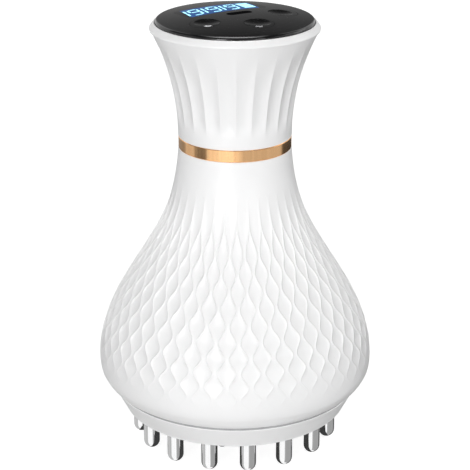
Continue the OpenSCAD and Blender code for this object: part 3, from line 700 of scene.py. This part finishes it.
def button_marks():
    """A ring with a bar on one button and a wave on another."""
    x, y = POWER_SPOT[0] + POWER_SHIFT[0], POWER_SPOT[1] + POWER_SHIFT[1]
    outlines = arc(x, y, POWER_R, POWER_W, 130, 410, 20)
    outlines.append(box(x - POWER_W / 2, y + POWER_BAR_LOW, x + POWER_W / 2, y + POWER_BAR_HIGH))
    made = plates("power_mark", outlines, dish_height(POWER_SPOT), MARK_LIFT, MARK_T, white_mark)
    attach(made, "power_cap")
    x, y = MODE_SPOT[0] + MODE_SHIFT[0], MODE_SPOT[1] + MODE_SHIFT[1]
    outlines = arc(x - MODE_R, y, MODE_R, MODE_W, 0, 180, 10)
    outlines += arc(x + MODE_R, y, MODE_R, MODE_W, 180, 360, 10)
    made = plates("mode_mark", outlines, dish_height(MODE_SPOT), MARK_LIFT, MARK_T, white_mark)
    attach(made, "mode_cap")


lit_figures = lit("lit_figures", (0.32, 0.8, 1.0), (0.5, 0.92, 1.0), 1.0)
white_mark = lit("white_mark", (0.8, 0.81, 0.84), (0.9, 0.9, 0.92), 0.9)
belly_casing()
neck_casing()
display_figures()
button_marks()


# Studio, in metres and degrees
WORLD_FILL = 0.32  # strength of the world's light on the object
FLOOR_HALF = 4
FLOOR_GLOW, FLOOR_PLAIN, FLOOR_SEEN = 0.9, 0.68, 0.3  # glow and the two tones of its colour
AIM = (0, 0, 0.08)
LAMP_AWAY, LAMP_HEIGHT = 1.3, 0.7
# Each lamp's name, azimuth from the camera's, elevation, width and power
LAMPS = (("key", -18, 15, 0.3, 4.7), ("key_left", -30, 15, 0.35, 1.2), ("low", -18, 0, 0.7, 2.4),
         ("side", 35, 15, 0.35, 2.5), ("top", 0, 60, 0.7, 2.9), ("back", 110, 30, 0.7, 2.2))
# The cards round the object that only show in gloss: the elevations of their feet and tops,
# and those at which the pins and the gold band see them
FLAG_LOW, FLAG_HIGH = -75, -6
PIN_SEES, BAND_SEES = -25, -20
# Each card's name, the azimuths of its ends, its grey for the pins and for the gold band, and
# its distance
FLAGS = (("flag_right", 6, 116, (0.36, 0.6), 0.6),
         ("flag_right_back", 104, 168, (0.1, 0.02), 0.59),
         ("flag_middle", -38, -9, (1.0, 0.95), 0.61),
         ("flag_left_streak", -89, -56, (0.5, 0.12), 0.58),
         ("flag_left", -125, -66, (0.55, 0.65), 0.6),
         ("flag_left_back", -168, -116, (0.5, 0.28), 0.59))
# The card behind the panel: its ends, foot and top, and its tones at these elevations
BEHIND_SIDES, BEHIND_LOW, BEHIND_HIGH, BEHIND_AWAY, BEHIND_Z = (160, 200), -10, 62, 1.0, 0.155
BEHIND_AT, BEHIND_TONES = (0, 8, 21, 30, 38, 62), (0.26, 0.24, 0.17, 0.06, 0.02, 0.0)
# The card above it: its size and height, and the strip that glows on it
ABOVE_X, ABOVE_Y, ABOVE_Z = (-2.0, 2.0), (-2.6, 0.9), 1.2
STRIP_GLOW, STRIP_HALF, STRIP_Y, STRIP_SOFT_X, STRIP_SOFT_Y = 8, 0.38, (-0.1, 0.75), 0.18, 0.15


def floor_white():
    """Pale floor. Seen straight or in a reflection it glows nearly white and keeps a soft
    shadow."""
    f = Finish("floor_white", Roughness=0.9, Specular_IOR_Level=0.0)
    path = f.node("ShaderNodeLightPath")
    seen = f.math("MAXIMUM", path.outputs["Is Camera Ray"], path.outputs["Is Glossy Ray"])
    seen = f.math("MAXIMUM", seen, path.outputs["Is Transmission Ray"])
    speck = f.range(f.noise(2.0, 2), 0.99, 1.0)
    shade = f.math("MULTIPLY", f.range(seen, FLOOR_PLAIN, FLOOR_SEEN, 0, 1), speck)
    f.set("Base Color", f.ramp(shade, [(0, (0, 0, 0)), (1, (1, 1, 1))]))
    f.shader.inputs["Emission Color"].default_value = (1, 1, 1, 1)
    f.set("Emission Strength", f.math("MULTIPLY", seen, FLOOR_GLOW))
    return f.mat


def area(name, place, width, watts):
    data = bpy.data.lights.new(name, "AREA")
    data.shape = "RECTANGLE"
    data.size, data.size_y = width, LAMP_HEIGHT
    data.energy = watts
    lamp = bpy.data.objects.new(name, data)
    lamp.location = place
    lamp.rotation_euler = (Vector(AIM) - Vector(place)).to_track_quat("-Z", "Y").to_euler()
    bpy.context.scene.collection.objects.link(lamp)
    return lamp


def toward(azimuth, elevation, distance, z=AIM[2]):
    """A place at this azimuth from the photograph's camera, seen from the object."""
    a, e = math.radians(azimuth + CAMERA_AZIMUTH), math.radians(elevation)
    return (math.sin(a) * math.cos(e) * distance, -math.cos(a) * math.cos(e) * distance,
            z + math.sin(e) * distance)


def only_gloss(made):
    for ray in ("camera", "diffuse", "transmission", "shadow", "volume_scatter"):
        setattr(made, "visible_" + ray, False)


def gloss_card(name, place, level, cols, rows, fade=3):
    """A bent card with soft edges that only shows in gloss.
    Both place(u, v) and level(u, v) take shares of the way across it and up it."""
    verts, soft, levels = [], [], []
    for r in range(rows + 1):
        for c in range(cols + 1):
            verts.append(tuple(x / MM for x in place(c / cols, r / rows)))
            soft.append(ease(min(c, cols - c, r, rows - r) / fade))
            levels.append(level(c / cols, r / rows))
    faces = []
    for r in range(rows):
        for c in range(cols):
            a = r * (cols + 1) + c
            faces.append((a, a + 1, a + cols + 2, a + cols + 1))
    f = Finish(name)
    made = add_mesh(name, verts, faces, f.mat)
    for key, values in (("soft", soft), ("level", levels)):
        made.data.attributes.new(key, "FLOAT", "POINT").data.foreach_set("value", values)
    soft_at, level_at = (f.node("ShaderNodeAttribute", attribute_name=key).outputs["Fac"]
                         for key in ("soft", "level"))
    glow, clear, mix = (f.node("ShaderNode" + kind)
                        for kind in ("Emission", "BsdfTransparent", "MixShader"))
    glow.inputs["Color"].default_value = (1, 1, 1, 1)
    f.link(level_at, glow.inputs["Strength"])
    f.link(soft_at, mix.inputs[0])
    f.link(clear.outputs[0], mix.inputs[1])
    f.link(glow.outputs[0], mix.inputs[2])
    f.link(mix.outputs[0], f.tree.nodes["Material Output"].inputs["Surface"])
    only_gloss(made)


def between(a, b, t):
    return a + (b - a) * t


def flag(name, az0, az1, levels, distance):
    """A card round the object. The pins show the first of its greys, the gold band the second."""
    def place(u, v):
        return toward(between(az0, az1, u), between(FLAG_LOW, FLAG_HIGH, v), distance)

    def level(u, v):
        share = (between(FLAG_LOW, FLAG_HIGH, v) - PIN_SEES) / (BAND_SEES - PIN_SEES)
        return between(*levels, ease(share))

    gloss_card(name, place, level, 24, 24)


def make_world():
    world = bpy.data.worlds.new("studio")
    bpy.context.scene.world = world
    world.use_nodes = True
    tree = world.node_tree
    tree.nodes.clear()
    out = tree.nodes.new("ShaderNodeOutputWorld")
    seen, fill = tree.nodes.new("ShaderNodeBackground"), tree.nodes.new("ShaderNodeBackground")
    seen.inputs["Color"].default_value = (1, 1, 1, 1)
    seen.inputs["Strength"].default_value = 1.0
    fill.inputs["Color"].default_value = (1, 1, 1, 1)
    fill.inputs["Strength"].default_value = WORLD_FILL
    path = tree.nodes.new("ShaderNodeLightPath")
    most = path.outputs["Is Camera Ray"]
    for other in ("Is Glossy Ray", "Is Transmission Ray"):
        pick = tree.nodes.new("ShaderNodeMath")
        pick.operation = "MAXIMUM"
        tree.links.new(most, pick.inputs[0])
        tree.links.new(path.outputs[other], pick.inputs[1])
        most = pick.outputs["Value"]
    mix = tree.nodes.new("ShaderNodeMixShader")
    tree.links.new(most, mix.inputs[0])
    tree.links.new(fill.outputs[0], mix.inputs[1])
    tree.links.new(seen.outputs[0], mix.inputs[2])
    tree.links.new(mix.outputs[0], out.inputs["Surface"])


def make_floor():
    half = FLOOR_HALF / MM
    corners = [(x, y, 0) for x, y in box(-half, -half, half, half)]
    floor = add_mesh("floor", corners, [(0, 1, 2, 3)], floor_white(), smooth=False)
    floor.visible_glossy = False


def dark_disc(radius=36, height=0.2, n=72):
    """Just over the floor, for what the pins show of the shade under the head; in mm."""
    shade = Finish("under_head", Base_Color=(0.02, 0.02, 0.02, 1), Roughness=0.9,
                   Specular_IOR_Level=0.0, Emission_Color=(1, 1, 1, 1), Emission_Strength=0.04)
    turns = [math.tau * k / n for k in range(n)]
    ring = [(radius * math.cos(t), radius * math.sin(t), height) for t in turns]
    only_gloss(add_mesh("under_head", ring, [tuple(range(n))], shade.mat, smooth=False))


def make_studio():
    make_world()
    make_floor()
    for name, azimuth, elevation, width, watts in LAMPS:
        area(name, toward(azimuth, elevation, LAMP_AWAY), width, watts)
    area("rear", toward(180, 8, LAMP_AWAY), 1.2, 9.0).visible_glossy = False
    for name, az0, az1, levels, distance in FLAGS:
        flag(name, az0, az1, levels, distance)
    dark_disc()
    panel_cards()


def panel_cards():
    """What the black panel shows: a grey card behind it, darker upward, and a black one above
    it with a white strip."""
    def behind(u, v):
        elevation = between(BEHIND_LOW, BEHIND_HIGH, v)
        return toward(between(*BEHIND_SIDES, u), elevation, BEHIND_AWAY, BEHIND_Z)

    def behind_level(u, v):
        tone = np.interp(between(BEHIND_LOW, BEHIND_HIGH, v), BEHIND_AT, BEHIND_TONES)
        return tone * between(0.5, 1.5, u)

    def above(u, v):
        x, y, turn = between(*ABOVE_X, u), between(*ABOVE_Y, v), math.radians(CAMERA_AZIMUTH)
        c, s = math.cos(turn), math.sin(turn)
        return x * c - y * s, x * s + y * c, ABOVE_Z

    def above_level(u, v):
        x, y = between(*ABOVE_X, u), between(*ABOVE_Y, v)
        low, high = STRIP_Y
        along_x = ease((STRIP_HALF - abs(x)) / STRIP_SOFT_X)
        along_y = ease((y - low) / STRIP_SOFT_Y) * ease((high - y) / STRIP_SOFT_Y)
        return STRIP_GLOW * along_x * along_y

    gloss_card("card_behind", behind, behind_level, 24, 36)
    gloss_card("card_above", above, above_level, 40, 70, 1)


make_camera()
make_studio()
bpy.context.scene.view_settings.view_transform = "Standard"

bpy.context.view_layer.update()
